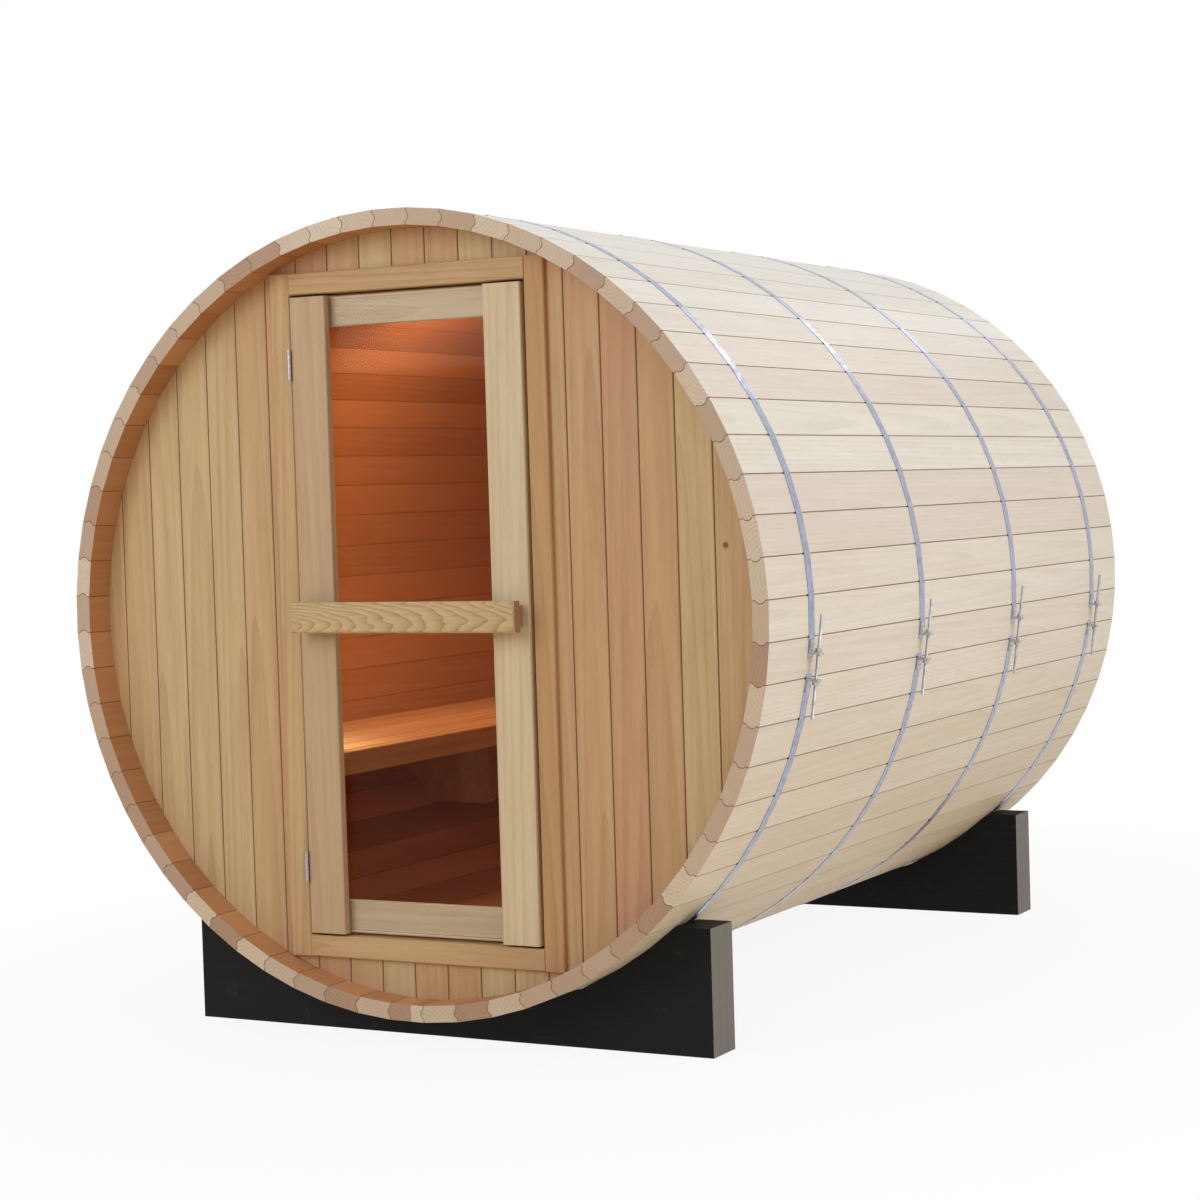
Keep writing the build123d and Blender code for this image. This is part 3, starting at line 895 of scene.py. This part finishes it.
def angle_lug(sizes, side):
    """A foot on the band with an ear for the rod, folded from one strap, and its two rivets."""
    bottom = -ROD_STANDOFF - LUG_SINK
    top = sizes.foot_thickness - ROD_STANDOFF
    lug = add_shape(bpy.ops.mesh.primitive_cube_add, "lug", size=1.0)
    lug.scale = (sizes.foot_length, sizes.lug_width, top - bottom)
    move_to(lug, (sizes.foot_length / 2, 0.0, (top + bottom) / 2))
    choose(lug, lambda point: True)
    fold = sizes.lug_thickness
    bpy.ops.mesh.bisect(plane_co=(fold, 0.0, 0.0), plane_no=(1.0, 0.0, 0.0))
    bpy.ops.object.mode_set(mode="OBJECT")
    choose(lug, lambda point: point.z > top - TOUCH and point.x < fold + TOUCH)
    bpy.ops.mesh.extrude_region_move(TRANSFORM_OT_translate={"value": (0.0, 0.0, LUG_TOP - top)})
    bpy.ops.object.mode_set(mode="OBJECT")
    soften(lug, LUG_EDGE)
    pieces = [lug]
    for across in RIVETS_ACROSS_FOOT:
        rivet = add_shape(
            bpy.ops.mesh.primitive_uv_sphere_add, "rivet", segments=10, ring_count=8,
            radius=sizes.rivet_radius,
        )
        choose(rivet, lambda point: True)
        bpy.ops.mesh.bisect(
            plane_co=(0.0, 0.0, -RIVET_SINK), plane_no=(0.0, 0.0, 1.0), clear_inner=True,
            use_fill=True,
        )
        bpy.ops.object.mode_set(mode="OBJECT")
        rivet.scale = (1.0, 1.0, RIVET_FLATNESS)
        move_to(rivet, (RIVET_ALONG_FOOT * sizes.foot_length, across * sizes.lug_width, top))
        pieces.append(rivet)
    lug = join("lug", pieces)
    start = sizes.lug_spacing / 2 - sizes.lug_thickness / 2
    move_to(lug, (side * start, 0.0, 0.0), (0.0, 0.0, 0.0 if side > 0 else math.pi))
    return lug


class SAUNA_OT_tensioners(SaunaOperator, bpy.types.Operator):
    """Model the rods, nuts, washers and lugs that draw the bands tight"""

    bl_idname = "sauna.tensioners"
    bl_label = "Tensioners"

    def execute(self, context):
        sizes = context.scene.sauna_sizes
        pieces = [threaded_rod(sizes)]
        for side in (-1, 1):
            ear = sizes.lug_spacing / 2 + sizes.lug_thickness / 2
            washer = (side * (ear + sizes.washer_thickness / 2), 0.0, 0.0)
            nut = (side * (ear + sizes.washer_thickness + sizes.nut_height / 2), 0.0, 0.0)
            pieces += [
                angle_lug(sizes, side),
                collar(
                    "washer", WASHER_SIDES, sizes.washer_width, sizes.washer_thickness, washer,
                    WASHER_EDGE,
                ),
                collar("nut", NUT_SIDES, sizes.nut_width, sizes.nut_height, nut, NUT_EDGE),
            ]
        fitting = join("fitting", pieces)
        move_to(fitting, (0.0, 0.0, BAND_SURFACE + ROD_STANDOFF))
        # Zinc plated steel fittings: pale grey, a little duller than the bands
        zinc = steel("zinc_plated_fittings", context.scene.sauna_finishes.tensioner, 0.38, 0.003)
        for index in BANDS:
            low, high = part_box(f"band_{index}")
            made = copy_of(fitting, f"tensioner_fitting_{index}")
            move_to(made, (0.0, (low.y + high.y) / 2, AXIS_HEIGHT), (0.0, TENSIONER_TURN, 0.0))
            hand_in(made, zinc)
            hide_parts(f"tensioner_{index}")
        bpy.data.objects.remove(fitting)
        return {"FINISHED"}


class SAUNA_OT_nails(SaunaOperator, bpy.types.Operator):
    """Drive a nail into every joint of the staves along the near edge of each band"""

    bl_idname = "sauna.nails"
    bl_label = "Nails"

    def execute(self, context):
        sizes = context.scene.sauna_sizes
        nail = add_shape(
            bpy.ops.mesh.primitive_cylinder_add, "nail", vertices=NAIL_SIDES,
            radius=sizes.nail_radius, depth=sizes.nail_height,
        )
        soften(nail, NAIL_EDGE)
        move_to(nail, (0.0, -BAND_WIDTH / 2 - sizes.nail_radius, BARREL_RADIUS))
        heads = []
        for index in range(STAVE_COUNT):
            head = copy_of(nail, f"nail_{index}")
            move_to(head, (0.0, 0.0, 0.0), (0.0, STAVE_TURN + (index + 0.5) * STAVE_PITCH, 0.0))
            heads.append(head)
        ring = join("nail_ring", heads)
        iron = black_iron(context.scene.sauna_finishes.nail)
        for index in BANDS:
            low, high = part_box(f"band_{index}")
            made = copy_of(ring, f"band_{index}_nails")
            move_to(made, (0.0, (low.y + high.y) / 2, AXIS_HEIGHT))
            hand_in(made, iron)
        bpy.data.objects.remove(nail)
        bpy.data.objects.remove(ring)
        return {"FINISHED"}


# Stage


def camera_turn(yaw, pitch, roll):
    """The camera's matrix: right, up and backward."""
    forward = Vector(
        (-math.sin(yaw) * math.cos(pitch), math.cos(yaw) * math.cos(pitch), -math.sin(pitch))
    )
    level = Vector((math.cos(yaw), math.sin(yaw), 0.0))
    above = level.cross(forward)
    right = math.cos(roll) * level + math.sin(roll) * above
    up = -math.sin(roll) * level + math.cos(roll) * above
    return Matrix((right, up, -forward)).transposed()


def soft_box(name, place, target, size, watts, tint="#ffffff"):
    """A soft light that looks at a point and isn't seen itself."""
    lamp = bpy.data.lights.new(name, "AREA")
    lamp.size = size
    lamp.energy = watts
    lamp.color = linear(tint)[:3]
    holder = bpy.data.objects.new(name, lamp)
    holder.location = place
    holder.rotation_euler = (Vector(target) - Vector(place)).to_track_quat("-Z", "Y").to_euler()
    holder.visible_camera = False
    bpy.context.scene.collection.objects.link(holder)
    return holder


class SAUNA_OT_stage(SaunaOperator, bpy.types.Operator):
    """Set the floor, the soft light and the camera"""

    bl_idname = "sauna.stage"
    bl_label = "Stage"

    def execute(self, context):
        stage = context.scene.sauna_stage
        bpy.ops.object.select_all(action="DESELECT")
        bpy.ops.mesh.primitive_plane_add(size=FLOOR_SIZE, location=(0.0, 0.0, -FLOOR_DROP))
        floor = context.active_object
        floor.name = "stage_floor"
        floor.data.materials.append(white_floor())
        white_sky(stage.sky_strength)
        middle = (0.0, 0.0, AXIS_HEIGHT)
        soft_box("front_light", (-1.3, -4.6, 2.9), middle, size=2.5, watts=stage.front_power)
        soft_box("side_light", (5.5, -1.0, 5.0), middle, size=4.0, watts=stage.side_power)
        # Staves about fifty degrees from the top mirror this light towards the camera
        stave = (0.72, -0.9, AXIS_HEIGHT + 0.56)
        soft_box("glint_light", (1.04, 4.5, 4.1), stave, size=1.1, watts=stage.glint_power)
        ceiling = (-0.2, -0.35, AXIS_HEIGHT + 0.78)
        over_bench = (-0.46, -0.93, AXIS_HEIGHT - 0.12)
        for name, place, target, size, watts, tint in (
            ("cabin_lamp", ceiling, (-0.3, 0.0, 0.2), 0.25, stage.cabin_power, CABIN_TINT),
            ("bench_lamp", over_bench, (-0.5, -0.86, 0.6), 0.1, stage.bench_power, BENCH_TINT),
        ):
            lamp = soft_box(name, place, target, size, watts, tint)
            lamp.visible_transmission = False
        lens = bpy.data.cameras.new("camera")
        lens.sensor_width = 36.0
        lens.lens = stage.lens
        camera = bpy.data.objects.new("camera", lens)
        turn = camera_turn(stage.camera_yaw, stage.camera_pitch, stage.camera_roll)
        camera.matrix_world = Matrix.Translation(stage.camera_place) @ turn.to_4x4()
        context.scene.collection.objects.link(camera)
        context.scene.camera = camera
        context.scene.view_settings.view_transform = "Standard"
        return {"FINISHED"}


def seen_directly(tree):
    """One where a ray comes from the camera, a mirror or glass, which see a white background."""
    path = add_node(tree, "ShaderNodeLightPath")
    camera, glossy, glass, bounces = [
        path.outputs[name]
        for name in ("Is Camera Ray", "Is Glossy Ray", "Is Transmission Ray", "Diffuse Depth")
    ]
    direct = add_node(tree, "ShaderNodeMath", {0: camera, 1: glossy}, operation="ADD")
    direct = add_node(
        tree, "ShaderNodeMath", {0: direct, 1: glass}, operation="ADD", use_clamp=True
    )
    # Light that falls into the cabin through the glass is the plain sky, and not this white
    first = add_node(tree, "ShaderNodeMath", {0: bounces, 1: 0.5}, operation="LESS_THAN")
    return add_node(tree, "ShaderNodeMath", {0: direct, 1: first}, operation="MULTIPLY")


def white_floor():
    """Seamless white paper: a soft shadow near the barrel, and plain white further off."""
    material, tree, shader = new_material("white_paper_floor")
    shader.inputs["Base Color"].default_value = linear(PAPER_TINT)
    shader.inputs["Roughness"].default_value = 0.9
    glow = add_node(tree, "ShaderNodeEmission", {"Color": (1.0, 1.0, 1.0, 1.0), "Strength": 1.0})
    place = add_node(tree, "ShaderNodeTexCoord").outputs["Object"]
    away = add_node(tree, "ShaderNodeVectorMath", {0: place, 1: FLOOR_OVAL}, operation="MULTIPLY")
    away = add_node(tree, "ShaderNodeVectorMath", {0: away}, operation="LENGTH").outputs["Value"]
    plain = add_node(
        tree,
        "ShaderNodeMapRange",
        {0: away, 1: FLOOR_FADE_START, 2: FLOOR_FADE_END, 3: FLOOR_SHARE_NEAR, 4: 1.0},
    )
    share = add_node(
        tree, "ShaderNodeMath", {0: seen_directly(tree), 1: plain}, operation="MULTIPLY"
    )
    mixed = add_node(tree, "ShaderNodeMixShader", {0: share, 1: shader, 2: glow})
    tree.links.new(mixed.outputs[0], tree.nodes["Material Output"].inputs["Surface"])
    return material


def white_sky(strength):
    """A white world whose light is plain and whose picture is white."""
    world = bpy.data.worlds.new("white_sky")
    bpy.context.scene.world = world
    world.use_nodes = True
    tree = world.node_tree
    picture = add_node(tree, "ShaderNodeMapRange", {0: seen_directly(tree), 3: strength, 4: 1.0})
    shader = tree.nodes["Background"]
    shader.inputs["Color"].default_value = (1.0, 1.0, 1.0, 1.0)
    tree.links.new(picture.outputs[0], shader.inputs["Strength"])


class SAUNA_PT_sidebar(bpy.types.Panel):
    """Steps and settings of the sauna's finish"""

    bl_idname = "SAUNA_PT_sidebar"
    bl_label = "Barrel sauna"
    bl_space_type = "VIEW_3D"
    bl_region_type = "UI"
    bl_category = "Sauna"

    def draw(self, context):
        for step in STEPS:
            self.layout.operator(step.bl_idname)
        for group in GROUPS:
            settings = getattr(context.scene, group)
            box = self.layout.box()
            for name in settings.__annotations__:
                box.prop(settings, name)


GROUPS = {
    "sauna_woods": SaunaWoodColours,
    "sauna_finishes": SaunaFinishColours,
    "sauna_sizes": SaunaSizes,
    "sauna_stage": SaunaStageSettings,
}
STEPS = [
    SAUNA_OT_stage,
    SAUNA_OT_barrel_wood,
    SAUNA_OT_door_wood,
    SAUNA_OT_finish,
    SAUNA_OT_tensioners,
    SAUNA_OT_nails,
]


def register():
    """Add the settings, the steps and the sidebar."""
    for kind in [*GROUPS.values(), *STEPS, SAUNA_PT_sidebar]:
        bpy.utils.register_class(kind)
    for name, kind in GROUPS.items():
        setattr(bpy.types.Scene, name, bpy.props.PointerProperty(type=kind))


def unregister():
    """Take them away again."""
    for name in GROUPS:
        delattr(bpy.types.Scene, name)
    for kind in [SAUNA_PT_sidebar, *reversed(STEPS), *reversed(list(GROUPS.values()))]:
        bpy.utils.unregister_class(kind)


def main():
    """Run every step in order."""
    register()
    bpy.ops.sauna.stage()
    bpy.ops.sauna.barrel_wood()
    bpy.ops.sauna.door_wood()
    bpy.ops.sauna.finish()
    bpy.ops.sauna.tensioners()
    bpy.ops.sauna.nails()


if __name__ == "__main__":
    main()
